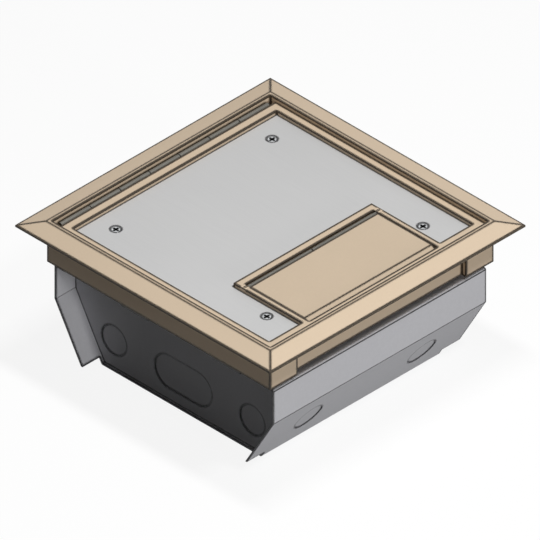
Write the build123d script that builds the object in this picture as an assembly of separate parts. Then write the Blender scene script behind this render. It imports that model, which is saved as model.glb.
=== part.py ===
from build123d import *
import math
import os

# Floor box: a cast trim frame set in a raised floor, with a hinged lid and a cable flap, over a
# folded steel box that carries power and data outlets.
# Millimetres. +Z is up, +Y is the lid's hinge side, -X is left. The origin is the middle of the
# pan's underside.

# Trim frame, one aluminium casting: bevelled flange, skirt and lid seat
floor_z = 130.0             # finished floor, where the flange's underside rests
flange_width = 289.2
flange_edge = 1.7           # upright edge below the bevel
rim_height = 5.8            # flat rim above the floor
rim_land = 3.55             # width of the flat rim round the opening
opening_width = 247.1
skirt_wall = 2.95
skirt_depth = 34.0
recess_depth = 5.0          # set-back of the front and back skirts between the corner blocks
corner_length = 31.0
seat_drop = 10.75           # lid seat below the floor
seat_thickness = 3.5
seat_width_y = 11.55        # front and back seats; the side seats reach the end walls

# Folded steel box
sheet = 1.6
bend_radius = 0.4           # inside of every fold
wrap_width = 248.0          # over the two long sides
wrap_length = 241.2         # the long sides run past the end walls as ears
lip_drop = 4.7              # the box's top lips below the skirt
lip_width = 11.0
side_height = 33.1          # upright part of a long side
side_slope = 30.0           # degrees from upright, below it
ear_rise = 6.3              # lower edge of the ears above the pan's underside
end_wall_span = 197.4       # over the two end walls
pan_overhang = 2.0          # pan past each end wall
neck_gap = 3.0              # end wall's neck inside the lips
frame_tab = 8.0             # end wall's tab under the side seat
frame_tab_inset = 6.0
weld_tab = 14.0             # depth of the spot-welded tabs inside the box
pan_tab_length = 72.0
side_tab_inset = 5.0
slope_tab_inset = 10.0
fit_gap = 0.2

# Knockouts, all closed: half-sheared discs that stand in by half the sheet
round_knockout = 28.2
long_knockout = 64.9
long_knockout_width = 32.4
knockout_height = 28.8      # end-wall knockouts above the pan's underside
knockout_spread = 78.3
side_knockout_x = 64.2
side_knockout_down = 33.3   # down the slope from the upper fold
knockout_step = 0.8
knockout_shear = 0.1        # disc's edge inside the hole it was sheared from

# Lid, one casting with the flap's bezel, and the steel plate it holds
lid_gap = 0.35
lid_drop = 3.55             # lid's top below the rim
lid_height = 12.0
lid_draft = 2.0             # degrees, narrower below
hinge_gap = 6.15            # between the lid and the opening's back wall
border = 7.9                # lid's border beside the plate
border_y = 9.25             # lid's border in front of and behind the plate
plate_recess = 3.4
plate_thickness = 2.4
plate_gap = 0.4
shelf = 14.0                # under the plate's edge
rib = 4.0
bezel_rib = 7.0             # rib behind the bezel
boss_width = 14.0
plate_screw_x = 88.5
plate_screw_front = 38.7    # from the lid's front edge
plate_screw_back = 30.9     # from the lid's back edge

# Cable flap in the lid's front
bezel_width = 156.4
bezel_wall = 5.5
bezel_back_wall = 8.1
flap_opening_depth = 72.0
flap_front_border = 6.6
flap_side_gap = 0.3
flap_front_gap = 0.4
flap_hinge_gap = 4.8
flap_drop = 0.3
flap_height = 5.9
flap_skin = 2.4
flap_wall = 3.0
grip_width = 5.6            # sloped finger grip along the flap's front edge
grip_depth = 2.6
grip_wall = 8.6
flap_ledge = 3.2
flap_pad_height = 0.8
flap_pad_length = 12.0
flap_pad_width = 2.6
flap_pad_spread = 24.0
flap_axis_drop = 2.0        # flap's and lid's hinge axes below the lid's top
flap_pin_diameter = 2.8
flap_pin_bite = 4.0         # pin's outer end in the bezel's side wall
flap_pin_end_gap = 0.3      # between the two pins, and past each pin's outer end
saddle_wall = 0.65
saddle_length = 18.0
saddle_spread = 52.0
saddle_rise = 0.3           # saddle's open top above the axis

# Lid hinge: continuous hinge with interleaved knuckles on one pin
knuckle_radius = 2.2
knuckle_count = 7
knuckle_gap = 0.2
knuckle_root = 0.7          # leaf's upper edge above the axis, inside the knuckle
hinge_end_gap = 5.55        # hinge's ends inside the opening
hinge_pin_diameter = 2.0
pin_clearance = 0.05
leaf = 1.2
leaf_height = 9.0           # below the axis
lid_to_axis = 3.0
leaf_standoff = 0.15        # fixed leaf's back past the knuckle
notch_clearance = 0.4
leaf_screw_down = 5.8
leaf_screw_count = 4
leaf_screw_pitch = 64.0
leaf_screw_head = 4.6
leaf_screw_head_height = 0.8
leaf_screw_shank = 2.6
leaf_screw_bite = 2.4       # into the casting behind the leaf
leaf_hole_spare = 0.4       # tapped hole past the screw's end

# Seat pads
pad_height = 1.0
pad_length = 22.0
pad_width = 4.0
pad_inset = 3.0             # pad's middle inside the lid's edge
pad_spread = 40.0
side_pad_spread = 92.0

# Device brackets and devices
bracket_inset = 2.0         # bracket's top fold inside the seat
bracket_foot = 14.0
bracket_head = 8.3
bracket_end_gap = 0.3
bracket_foot_inset = 14.0   # foot shorter than the bracket, clear of the end walls' tabs
bracket_screw_x = 74.8
bracket_screw_inset = 3.6   # from the seat's inner edge
foot_screw_in = 8.7         # from the bracket's fold along its foot
device_spread = 44.0        # device centres from the middle
device_centre = 68.0        # up the slope from the pan
device_screw_pitch = 83.3
outlet_pitch = 38.1
outlet_width = 34.5
outlet_height = 28.6
outlet_stand = 1.5          # proud of the bracket
outlet_gap = 0.4
outlet_body_width = 33.5
outlet_body_length = 66.0
outlet_body_depth = 24.2
strap_thickness = 1.2
strap_width = 14.0
strap_length = 105.0
blade_spacing = 12.7
blade_slot = 1.9
blade_length = 8.2
blade_up = 3.2              # blade slots above the outlet's middle
ground_hole = 5.0
ground_down = 7.4
slot_depth = 9.0
insert_width = 34.6
insert_length = 67.6
insert_stand = 1.2
insert_flange = 2.0
port_width = 14.8
port_height = 16.6
port_pitch = 20.4
port_gap = 0.1
jack_depth = 22.0
jack_stand = 0.6
jack_mouth_width = 11.8
jack_mouth_height = 8.4
jack_mouth_depth = 3.4
jack_latch_width = 6.2
jack_latch_height = 2.6
blank_depth = 8.0

# Floor clamps: a screw through each side seat and the dog that it carries
clamp_y = 52.0
clamp_screw_diameter = 5.0
clamp_head_diameter = 9.0
clamp_head_height = 2.2
clamp_collar_diameter = 8.0
clamp_collar_height = 1.2
clamp_running_gap = 0.08
dog_drop = 45.7             # dog's underside below the floor
dog_thickness = 4.5
dog_width = 10.0
dog_reach = 30.0
dog_hub_height = 9.0
dog_toe = 6.0
dog_toe_height = 1.5
clamp_tip = 2.5             # screw past the dog

# Screws, with twelve flats in place of a round; larger round shapes have twenty-four
screw_flat_count = 12
round_flat_count = 24
head_edge = 0.2             # upright edge of a countersunk head
screw_gap = 0.1
plate_screw_head = 8.9
plate_screw_shank = 4.8
plate_screw_sink = 0.35     # head below the plate's face
drive_width = 5.6
drive_slot = 1.0
drive_depth = 1.1
small_screw_head = 6.4
small_screw_shank = 3.4
frame_screw_length = 5.6
frame_screw_inset = 12.0    # from the end wall neck's edges
foot_screw_height = 1.8
device_screw_head = 6.2
device_screw_shank = 3.4
device_screw_length = 6.5
ground_screw_head = 8.0
ground_screw_height = 3.4
ground_washer = 10.5
ground_washer_height = 0.9
ground_screw_x = 70.0
ground_screw_y = 72.0

# Heights and places that follow from the sizes above
slope = math.radians(side_slope)
rim_z = floor_z + rim_height
rim_width = opening_width + 2 * rim_land
opening_half = opening_width / 2
skirt_half = opening_half + skirt_wall
skirt_bottom = floor_z - skirt_depth
seat_z = floor_z - seat_drop
seat_bottom = seat_z - seat_thickness
seat_inner_y = opening_half - seat_width_y
end_wall_x = end_wall_span / 2
seat_inner_x = end_wall_x - sheet
lip_z = skirt_bottom - lip_drop
fold_z = lip_z - side_height
side_half = wrap_width / 2
pan_half = side_half - fold_z * math.tan(slope)
neck_half = side_half - lip_width - neck_gap
lid_top = rim_z - lid_drop
lid_bottom = lid_top - lid_height
lid_half = opening_half - lid_gap
lid_back = opening_half - hinge_gap
hinge_y = lid_back + lid_to_axis
hinge_z = lid_top - flap_axis_drop
hinge_length = opening_width - 2 * hinge_end_gap
plate_z = lid_top - plate_recess
shelf_z = plate_z - plate_thickness
plate_half = lid_half - border
plate_back = lid_back - border_y
plate_front = border_y - lid_half
plate_screw_front_y = plate_screw_front - lid_half
plate_screw_back_y = lid_back - plate_screw_back
plate_screw_places = [(x, y) for x in (-plate_screw_x, plate_screw_x)
                      for y in (plate_screw_front_y, plate_screw_back_y)]
flap_opening_half = bezel_width / 2 - bezel_wall
flap_opening_front = flap_front_border - lid_half
flap_opening_back = flap_opening_front + flap_opening_depth
bezel_back = flap_opening_back + bezel_back_wall
flap_top = lid_top - flap_drop
flap_bottom = flap_top - flap_height
flap_back = flap_opening_back - flap_hinge_gap
flap_axis_y = flap_opening_back - flap_hinge_gap / 2
flap_pin_end = flap_opening_half + flap_pin_bite
clamp_x = (end_wall_x + opening_half) / 2
bracket_top_y = seat_inner_y - bracket_inset
bracket_foot_y = bracket_top_y - (seat_bottom - sheet) * math.tan(slope)
bracket_half = seat_inner_x - bracket_end_gap


def block(x0, x1, y0, y1, z0, z1):
    """A rectangular block between two corners."""
    return Pos((x0 + x1) / 2, (y0 + y1) / 2, (z0 + z1) / 2) * Box(x1 - x0, y1 - y0, z1 - z0)


def pin(radius, x0, x1, y, z):
    """A pin along X, with flats inside that radius."""
    return Pos(x0, y, z) * extrude(Plane.YZ * RegularPolygon(radius, round_flat_count), x1 - x0)


def barrel(radius, x0, x1, y, z):
    """A barrel or bore along X, with flats that lie that far from its middle."""
    outline = RegularPolygon(radius, round_flat_count, major_radius=False)
    return Pos(x0, y, z) * extrude(Plane.YZ * outline, x1 - x0)


def both_sides(shape):
    """A shape and its mirror image across the middle plane X = 0."""
    return [shape, mirror(shape, about=Plane.YZ)]


def save(node, solids):
    """Write one node's solids to its STEP file."""
    solids = list(solids) if isinstance(solids, (list, tuple)) else [solids]
    shape = solids[0] if len(solids) == 1 else Compound(children=solids)
    export_step(shape, f"parts/{node}.step")


def flats(diameter, height, sides=screw_flat_count):
    """A round part with flats, from Z = 0 up, or down if the height is negative."""
    return extrude(RegularPolygon(diameter / 2, sides), height)


def flat_screw(head, shank, length, gap=0.0, sides=screw_flat_count):
    """A countersunk screw with its head's top at Z = 0, or with a gap, its hole."""
    cone = (head - shank) / 2
    body = flats(head + 2 * gap, -head_edge - cone, sides)
    body = chamfer(body.edges().group_by(Axis.Z)[0], cone)
    return body + flats(shank + 2 * gap, -length, sides)


def low_screw(head, head_height, shank, length):
    """A low-headed screw with its seat at Z = 0 and its shank below."""
    return flats(head, head_height) + flats(shank, -length)


def screw_hole(shank, depth):
    """The hole round a small screw's shank, that deep each way from Z = 0."""
    return extrude(RegularPolygon(shank / 2 + screw_gap, screw_flat_count), depth, both=True)


def plate_screw():
    """One of the lid plate's screws, with its head's top at Z = 0 and a cross for the driver."""
    length = plate_z - plate_screw_sink - lid_bottom
    return flat_screw(plate_screw_head, plate_screw_shank, length) - cross_recess()


def plate_screw_hole(sides):
    """Its hole down from the plate's face, countersunk deeper than the head."""
    sunk = plate_screw_head + 2 * plate_screw_sink
    return flat_screw(sunk, plate_screw_shank, plate_z - lid_bottom, screw_gap, sides)


def cross_recess():
    """The cross that a driver fits, cut down from Z = 0."""
    depth = 2 * drive_depth
    return Box(drive_width, drive_slot, depth) + Box(drive_slot, drive_width, depth)


def clamp_places():
    """Name, place and turn of each floor clamp; the dogs of the two sides point opposite ways."""
    for side, x in (("left", -clamp_x), ("right", clamp_x)):
        for end, y in (("front", -clamp_y), ("back", clamp_y)):
            yield f"{end}_{side}", x, y, (180 if x > 0 else 0)


def frame_screw_places():
    """Screws through the side seats into the end walls' tabs."""
    x = end_wall_x + frame_tab / 2
    y = neck_half - frame_screw_inset
    return [(sx * x, sy * y) for sx in (-1, 1) for sy in (-1, 1)]


def bracket_top_places():
    """Screws through the front and back seats into the brackets' heads."""
    y = seat_inner_y + bracket_screw_inset
    return [(sx * bracket_screw_x, sy * y) for sx in (-1, 1) for sy in (-1, 1)]


def skirt_outline():
    """Outer outline of the skirt below the seat, set back between the corner blocks."""
    width = 2 * skirt_half
    notch = Rectangle(width - 2 * corner_length, 2 * recess_depth)
    return Rectangle(width, width) - Pos(0, skirt_half) * notch - Pos(0, -skirt_half) * notch


def trim_frame():
    """Flange with mitred bevels, skirt, lid seat and the hinge's step, cast as one."""
    low = Pos(0, 0, floor_z + flange_edge) * Rectangle(flange_width, flange_width)
    high = Pos(0, 0, rim_z) * Rectangle(rim_width, rim_width)
    edge = block(-flange_width / 2, flange_width / 2, -flange_width / 2, flange_width / 2,
                 floor_z, floor_z + flange_edge)
    outline = skirt_outline()
    skirt = extrude(outline - offset(outline, -skirt_wall, kind=Kind.INTERSECTION),
                    seat_bottom - skirt_bottom)
    upper = block(-skirt_half, skirt_half, -skirt_half, skirt_half, seat_bottom, floor_z)
    frame = edge + loft([low, high]) + Pos(0, 0, skirt_bottom) * skirt + upper
    frame -= block(-opening_half, opening_half, -opening_half, opening_half, seat_z, rim_z)
    frame -= block(-seat_inner_x, seat_inner_x, -seat_inner_y, seat_inner_y, seat_bottom, seat_z)
    step_y = hinge_y + knuckle_radius + leaf_standoff
    frame += block(-hinge_length / 2, hinge_length / 2, step_y, opening_half, seat_z, floor_z)
    hole = flat_screw(small_screw_head, small_screw_shank, 2 * seat_thickness, screw_gap)
    for x, y in frame_screw_places() + bracket_top_places():
        frame -= Pos(x, y, seat_z) * hole
    for _, x, y, _ in clamp_places():
        frame -= Pos(x, y, seat_z) * round_hole(clamp_head_diameter, clamp_head_height)
        frame -= Pos(x, y, seat_z) * round_hole(clamp_screw_diameter, 2 * seat_thickness)
    return frame


def seat_pads():
    """Rubber pads along the seat, under the lid's edge."""
    z = seat_z + pad_height / 2
    long_way = Box(pad_length, pad_width, pad_height)
    pads = []
    for side in (-1, 1):
        for y in (pad_inset - lid_half, lid_back - pad_inset):
            pads.append(Pos(side * pad_spread, y, z) * long_way)
        for y in (-side_pad_spread, side_pad_spread):
            pads.append(Pos(side * (lid_half - pad_inset), y, z) * Rot(0, 0, 90) * long_way)
    return pads


def box_outline():
    """Outer outline of the folded box across its width, lip to lip, with rounded folds."""
    half = [(-side_half, lip_z), (-side_half, fold_z), (-pan_half, 0)]
    points = half + [(-y, z) for y, z in reversed(half)]
    outline = Polygon(*points, align=None)
    return fillet(outline.vertices(), sheet + bend_radius)


def round_ended(length, width):
    """A round outline, or a round-ended one if it is longer than wide."""
    end = RegularPolygon(width / 2, round_flat_count)
    if length == width:
        return end
    reach = (length - width) / 2
    return Rectangle(2 * reach, width) + Pos(reach, 0) * end + Pos(-reach, 0) * end


def knock_out(wall, face, length, width):
    """Press a closed knockout into a wall at its outer face, to stand out on the inner face."""
    outer = round_ended(length, width)
    disc = Pos(0, 0, -sheet) * extrude(offset(outer, -knockout_shear), -knockout_step)
    return wall + face * disc - face * extrude(outer, knockout_step, both=True)


def box_wrap():
    """Pan, two long sides and their lips, folded from one sheet."""
    outline = box_outline()
    mouth = Pos(0, (fold_z + lip_z) / 2 + sheet) * Rectangle(2 * (side_half - lip_width),
                                                           side_height)
    profile = outline - offset(outline, -sheet) - mouth
    wrap = extrude(Plane.YZ * profile, wrap_length / 2, both=True)
    pan_end = end_wall_x + pan_overhang
    for ear in both_sides(block(pan_end, wrap_length, -side_half, side_half, -sheet, ear_rise)):
        wrap -= ear
    for side in (-1, 1):
        y = side * (side_half - side_knockout_down * math.sin(slope))
        z = fold_z - side_knockout_down * math.cos(slope)
        for x in (-side_knockout_x, side_knockout_x):
            face = Plane(origin=(x, y, z), x_dir=(1, 0, 0),
                         z_dir=(0, side * math.cos(slope), -math.sin(slope)))
            wrap = knock_out(wrap, face, round_knockout, round_knockout)
    return wrap


def end_wall():
    """Right end wall with its tabs: welded inside the box, and screwed under the side seat."""
    inner = offset(box_outline(), -sheet - fit_gap)
    under_lips = lip_z - sheet - fit_gap
    low = inner & Pos(0, under_lips / 2) * Rectangle(wrap_width, under_lips)
    neck = Pos(0, (fold_z + seat_bottom) / 2) * Rectangle(2 * neck_half, seat_bottom - fold_z)
    wall = Pos(seat_inner_x, 0, 0) * extrude(Plane.YZ * (low + neck), sheet)
    wall += block(seat_inner_x, end_wall_x + frame_tab, frame_tab_inset - neck_half,
                  neck_half - frame_tab_inset, seat_bottom - sheet, seat_bottom)
    wall += block(end_wall_x - weld_tab, end_wall_x, -pan_tab_length / 2, pan_tab_length / 2,
                  sheet, 2 * sheet)
    slope_length = fold_z / math.cos(slope)
    for side in (-1, 1):
        inner_y = side * (side_half - sheet)
        wall += block(end_wall_x - weld_tab, end_wall_x, min(inner_y, inner_y - side * sheet),
                      max(inner_y, inner_y - side * sheet), fold_z + side_tab_inset,
                      under_lips - side_tab_inset)
        inward = Vector(0, -side * math.cos(slope), math.sin(slope))
        middle = Vector(end_wall_x - weld_tab / 2, side * (side_half + pan_half) / 2, fold_z / 2)
        face = Plane(origin=middle + inward * sheet, x_dir=(1, 0, 0), z_dir=inward)
        wall += face * extrude(Rectangle(weld_tab, slope_length - 2 * slope_tab_inset), sheet)
    for y in (-knockout_spread, knockout_spread):
        face = Plane(origin=(end_wall_x, y, knockout_height), x_dir=(0, 1, 0), z_dir=(1, 0, 0))
        wall = knock_out(wall, face, round_knockout, round_knockout)
    middle = Plane(origin=(end_wall_x, 0, knockout_height), x_dir=(0, 1, 0), z_dir=(1, 0, 0))
    wall = knock_out(wall, middle, long_knockout, long_knockout_width)
    hole = screw_hole(small_screw_shank, 2 * sheet)
    for x, y in frame_screw_places():
        if x > 0:
            wall -= Pos(x, y, seat_bottom) * hole
    return wall


def device_plane(side):
    """Well-side face of a bracket: X across, Y up the slope, Z out towards the well."""
    return Plane(origin=(0, side * bracket_foot_y, sheet), x_dir=(side, 0, 0),
                 z_dir=(0, -side * math.cos(slope), math.sin(slope)))


def device_place(side, x):
    """Frame at the middle of one device on the bracket of that side."""
    return device_plane(side) * Pos(side * x, device_centre, 0)


def device_bracket(side, opening):
    """Sloped bracket from the pan to the seat, with a foot, a head and an opening per device."""
    back = sheet / math.cos(slope)
    foot_top = bracket_foot_y + sheet * math.tan(slope) + back
    head_low = bracket_top_y - sheet * math.tan(slope) + back
    points = [(bracket_foot_y, sheet), (bracket_foot_y + bracket_foot, sheet),
              (bracket_foot_y + bracket_foot, 2 * sheet), (foot_top, 2 * sheet),
              (head_low, seat_bottom - sheet), (bracket_top_y + bracket_head, seat_bottom - sheet),
              (bracket_top_y + bracket_head, seat_bottom), (bracket_top_y, seat_bottom)]
    profile = Polygon(*[(side * y, z) for y, z in points], align=None)
    bracket = extrude(Plane.YZ * profile, bracket_half, both=True)
    foot_end = bracket_half - bracket_foot_inset
    for corner in both_sides(block(foot_end, bracket_half, -side_half, side_half, 0, 3 * sheet)):
        bracket -= corner
    for x in (-device_spread, device_spread):
        bracket -= device_place(side, x) * extrude(opening, 2 * sheet, both=True)
        for y in (-device_screw_pitch / 2, device_screw_pitch / 2):
            hole = flat_screw(device_screw_head, device_screw_shank, 3 * sheet, screw_gap)
            bracket -= device_place(side, x) * Pos(0, y, 0) * hole
    hole = screw_hole(small_screw_shank, 2 * sheet)
    for x, y in bracket_top_places() + bracket_foot_places():
        if y * side > 0:
            bracket -= Pos(x, y, seat_bottom) * hole
            bracket -= Pos(x, y, 2 * sheet) * hole
    return bracket


def bracket_foot_places():
    """Screws through the brackets' feet into the pan."""
    y = bracket_foot_y + foot_screw_in
    return [(x, side * y) for side in (-1, 1) for x in (-device_spread, device_spread)]


def outlet_faces(gap=0.0):
    """Outlines of a duplex outlet's two faces."""
    face = RegularPolygon(outlet_width / 2 + gap, round_flat_count) & Rectangle(
        outlet_width + 2 * gap, outlet_height + 2 * gap)
    return Pos(0, outlet_pitch / 2) * face + Pos(0, -outlet_pitch / 2) * face


def receptacle_body():
    """Duplex receptacle's moulded body: two faces stand through the bracket, slots open."""
    back_z = -sheet - fit_gap
    body = extrude(Rectangle(outlet_body_width, outlet_body_length), -outlet_body_depth)
    body = Pos(0, 0, back_z) * (body + extrude(outlet_faces(), outlet_stand - back_z))
    blade = Box(blade_slot, blade_length, 2 * slot_depth)
    ground = extrude(RegularPolygon(ground_hole / 2, screw_flat_count), slot_depth, both=True)
    for y in (-outlet_pitch / 2, outlet_pitch / 2):
        body -= Pos(-blade_spacing / 2, y + blade_up, outlet_stand) * blade
        body -= Pos(blade_spacing / 2, y + blade_up, outlet_stand) * blade
        body -= Pos(0, y - ground_down, outlet_stand) * ground
    return body


def receptacle_strap():
    """Steel strap bent round the back of the body, with an ear at each end."""
    ear_z = -sheet - strap_thickness / 2
    inside = max(outlet_body_length, outlet_pitch + outlet_height)
    leg_y = (inside + strap_thickness) / 2 + fit_gap
    back_z = -sheet - 2 * fit_gap - outlet_body_depth - strap_thickness / 2
    path = Polyline((strap_length / 2, ear_z), (leg_y, ear_z), (leg_y, back_z),
                    (-leg_y, back_z), (-leg_y, ear_z), (-strap_length / 2, ear_z))
    strap = extrude(Plane.YZ * trace(path, strap_thickness), strap_width / 2, both=True)
    for y in (-device_screw_pitch / 2, device_screw_pitch / 2):
        strap -= Pos(0, y, ear_z) * screw_hole(device_screw_shank, 2 * strap_thickness)
    return strap


def data_plate():
    """Moulded plate behind the bracket with three ports."""
    back_z = -sheet
    plate = Pos(0, 0, back_z) * extrude(Rectangle(insert_width, insert_length),
                                        insert_stand - back_z)
    flange = Rectangle(insert_width, strap_length)
    plate += Pos(0, 0, back_z - insert_flange) * extrude(flange, insert_flange)
    for step in (-1, 0, 1):
        port = Box(port_width, port_height, 4 * insert_flange + sheet)
        plate -= Pos(0, step * port_pitch, 0) * port
    for y in (-device_screw_pitch / 2, device_screw_pitch / 2):
        plate -= Pos(0, y, back_z) * screw_hole(device_screw_shank, 2 * insert_flange)
    return plate


def port_block(depth):
    """What snaps into one port, standing a little proud of the plate."""
    height = depth + jack_stand
    return Pos(0, 0, insert_stand + jack_stand - height / 2) * Box(
        port_width - 2 * port_gap, port_height - 2 * port_gap, height)


def data_jack():
    """Data jack with a shutter close behind its mouth."""
    mouth = Box(jack_mouth_width, jack_mouth_height, 2 * jack_mouth_depth)
    latch = Pos(0, -(jack_mouth_height + jack_latch_height) / 2, 0) * Box(
        jack_latch_width, jack_latch_height, 2 * jack_mouth_depth)
    return port_block(jack_depth) - Pos(0, 0, insert_stand + jack_stand) * (mouth + latch)


def hinge_leaf(first, back, front):
    """One leaf with every second knuckle; back and front are its faces' places from the axis."""
    low, high = min(back, front), max(back, front)
    below = -knuckle_radius - notch_clearance
    shape = block(-hinge_length / 2, hinge_length / 2, low, high, -leaf_height, below)
    pitch = hinge_length / knuckle_count
    for index in range(first, knuckle_count, 2):
        x0 = index * pitch - hinge_length / 2 + knuckle_gap / 2
        x1 = x0 + pitch - knuckle_gap
        shape += block(x0, x1, low, high, below, knuckle_root)
        shape += barrel(knuckle_radius, x0, x1, 0, 0)
    shape -= barrel(hinge_pin_diameter / 2 + pin_clearance, -hinge_length, hinge_length, 0, 0)
    for x, z in leaf_screw_places():
        shape -= Pos(x, low, z) * Rot(90, 0, 0) * screw_hole(leaf_screw_shank, 2 * leaf)
    return Pos(0, hinge_y, hinge_z) * shape


def leaf_screw_places():
    """Places along the hinge, from its axis."""
    middle = (leaf_screw_count - 1) / 2
    return [((i - middle) * leaf_screw_pitch, -leaf_screw_down) for i in range(leaf_screw_count)]


def leaf_screws(face, turn):
    """Screws whose heads sit on a leaf's face, that far from the axis."""
    length = leaf + leaf_screw_bite
    screw = low_screw(leaf_screw_head, leaf_screw_head_height, leaf_screw_shank, length)
    return [Pos(x, hinge_y + face, hinge_z + z) * Rot(turn, 0, 0) * screw
            for x, z in leaf_screw_places()]


def leaf_screw_holes(y):
    """Tapped holes for them in the casting whose face is at y."""
    hole = Rot(90, 0, 0) * screw_hole(leaf_screw_shank, leaf_screw_bite + leaf_hole_spare)
    return [Pos(x, y, hinge_z + z) * hole for x, z in leaf_screw_places()]


def lid_pockets():
    """Cells open below the plate, between the ribs."""
    side = plate_half - shelf
    back = plate_back - shelf
    front = bezel_back + bezel_rib
    middle = (front + back) / 2
    cells = []
    thirds = (2 * side - 2 * rib) / 3
    for column in range(3):
        x0 = -side + column * (thirds + rib)
        cells.append(block(x0, x0 + thirds, front, middle - rib / 2, lid_bottom, shelf_z))
        cells.append(block(x0, x0 + thirds, middle + rib / 2, back, lid_bottom, shelf_z))
    strip = block(bezel_width / 2 + rib, side, plate_front + shelf, front - rib, lid_bottom, shelf_z)
    return cells + both_sides(strip)


def lid_bosses():
    """Bosses for the plate's screws: the back ones on the shelf, the front ones on the bezel."""
    half = boss_width / 2
    outer = plate_screw_x + half
    bosses = []
    for y, inner, behind in ((plate_screw_back_y, outer - boss_width, plate_back - shelf),
                             (plate_screw_front_y, bezel_width / 2, plate_screw_front_y + half)):
        bosses += both_sides(block(inner, outer, y - half, behind, lid_bottom, shelf_z))
    return bosses


def lid_frame():
    """Lid casting: border, shelf and ribs under the plate, and the flap's bezel and ledges."""
    middle = (lid_back - lid_half) / 2
    top = Pos(0, middle, lid_top) * Rectangle(2 * lid_half, lid_back + lid_half)
    frame = extrude(top, -lid_height, taper=lid_draft)
    frame += block(-hinge_length / 2, hinge_length / 2, lid_back - border_y, lid_back,
                   hinge_z - leaf_height, hinge_z)
    recess = block(-plate_half, plate_half, plate_front, plate_back, shelf_z, lid_top)
    recess -= block(-bezel_width / 2, bezel_width / 2, -lid_half, bezel_back, shelf_z, lid_top)
    frame -= recess
    for cell in lid_pockets():
        frame -= cell
    for boss in lid_bosses():
        frame += boss
    ledge_z = flap_bottom - flap_pad_height
    ledge_half = flap_opening_half - flap_ledge
    frame -= block(-flap_opening_half, flap_opening_half, flap_opening_front, flap_opening_back,
                   ledge_z, lid_top)
    frame -= block(-ledge_half, ledge_half, flap_opening_front, flap_opening_back,
                   lid_bottom, ledge_z)
    bore_end = flap_pin_end + flap_pin_end_gap
    frame -= barrel(flap_pin_diameter / 2 + pin_clearance, -bore_end, bore_end, flap_axis_y,
                      hinge_z)
    for x, y in plate_screw_places:
        frame -= Pos(x, y, plate_z) * plate_screw_hole(screw_flat_count)
    for hole in leaf_screw_holes(lid_back):
        frame -= hole
    return frame


def flap_saddle():
    """Saddle that wraps the flap's pin from below, open at the top so that it snaps on."""
    bore = flap_pin_diameter / 2 + pin_clearance
    outside = bore + saddle_wall
    half = saddle_length / 2
    saddle = barrel(outside, -half, half, flap_axis_y, hinge_z)
    saddle += block(-half, half, flap_back - flap_wall / 2, flap_axis_y, hinge_z - outside, hinge_z)
    saddle -= block(-half, half, flap_back, flap_opening_back, hinge_z + saddle_rise, rim_z)
    return saddle - barrel(bore, -saddle_length, saddle_length, flap_axis_y, hinge_z)


def lid_plate():
    """Steel plate in the lid's recess, cut away round the flap's bezel."""
    side = plate_half - plate_gap
    plate = block(-side, side, plate_front + plate_gap, plate_back - plate_gap, shelf_z, plate_z)
    notch_half = bezel_width / 2 + plate_gap
    plate -= block(-notch_half, notch_half, -lid_half, bezel_back + plate_gap, shelf_z, plate_z)
    for x, y in plate_screw_places:
        plate -= Pos(x, y, plate_z) * plate_screw_hole(round_flat_count)
    return plate


def flap():
    """Cable flap: a ribbed casting with a finger grip in front and three saddles behind."""
    half = flap_opening_half - flap_side_gap
    front = flap_opening_front + flap_front_gap
    side_view = Polygon((front, flap_bottom), (flap_back, flap_bottom), (flap_back, flap_top),
                        (front + grip_width, flap_top), (front, flap_top - grip_depth), align=None)
    shape = extrude(Plane.YZ * side_view, half, both=True)
    cell = (2 * half - 4 * flap_wall) / 3
    for column in range(3):
        x0 = -half + flap_wall + column * (cell + flap_wall)
        shape -= block(x0, x0 + cell, front + grip_wall, flap_back - flap_wall,
                       flap_bottom, flap_top - flap_skin)
    for x in (-saddle_spread, 0, saddle_spread):
        shape += Pos(x, 0, 0) * flap_saddle()
    return shape


def flap_hinge_pins():
    """Two pins that meet in the flap's middle saddle, their ends in the bezel's side walls."""
    inner = flap_pin_end_gap / 2
    return both_sides(pin(flap_pin_diameter / 2, inner, flap_pin_end, flap_axis_y, hinge_z))


def flap_pads():
    """Rubber pads on the ledges that the flap closes on."""
    x = flap_opening_half - flap_ledge / 2
    z = flap_bottom - flap_pad_height / 2
    middle = (flap_opening_front + flap_opening_back) / 2
    pad = Box(flap_pad_width, flap_pad_length, flap_pad_height)
    return [Pos(sx * x, middle + sy * flap_pad_spread, z) * pad for sx in (-1, 1) for sy in (-1, 1)]


def post(diameter, z0, z1):
    """An upright round part with flats between two heights."""
    return Pos(0, 0, z0) * flats(diameter, z1 - z0)


def round_hole(diameter, depth):
    """A hole down from Z = 0 in which a round part of that diameter turns."""
    outline = RegularPolygon(diameter / 2 + clamp_running_gap, screw_flat_count, major_radius=False)
    return extrude(outline, -depth)


def clamp_screw():
    """Screw from the seat down to the dog, held by its head and a collar under the seat."""
    bottom = floor_z - dog_drop - clamp_tip
    collar_top = seat_bottom - clamp_running_gap
    screw = post(clamp_head_diameter, seat_z - clamp_head_height, seat_z)
    screw += post(clamp_screw_diameter, bottom, seat_z - clamp_head_height)
    return screw + post(clamp_collar_diameter, collar_top - clamp_collar_height, collar_top)


def clamp_dog():
    """Dog on the screw: a hub, a long arm and a raised toe, stowed pointing to -Y."""
    low = floor_z - dog_drop
    arm_top = low + dog_thickness
    half = dog_width / 2
    hub_top = low + dog_hub_height
    dog = block(-half, half, -dog_reach, 0, low, arm_top)
    dog += post(dog_width, low, hub_top)
    dog += block(-half, half, -dog_reach, dog_toe - dog_reach, arm_top, arm_top + dog_toe_height)
    return dog - Pos(0, 0, hub_top) * round_hole(clamp_screw_diameter, dog_hub_height)


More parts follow.
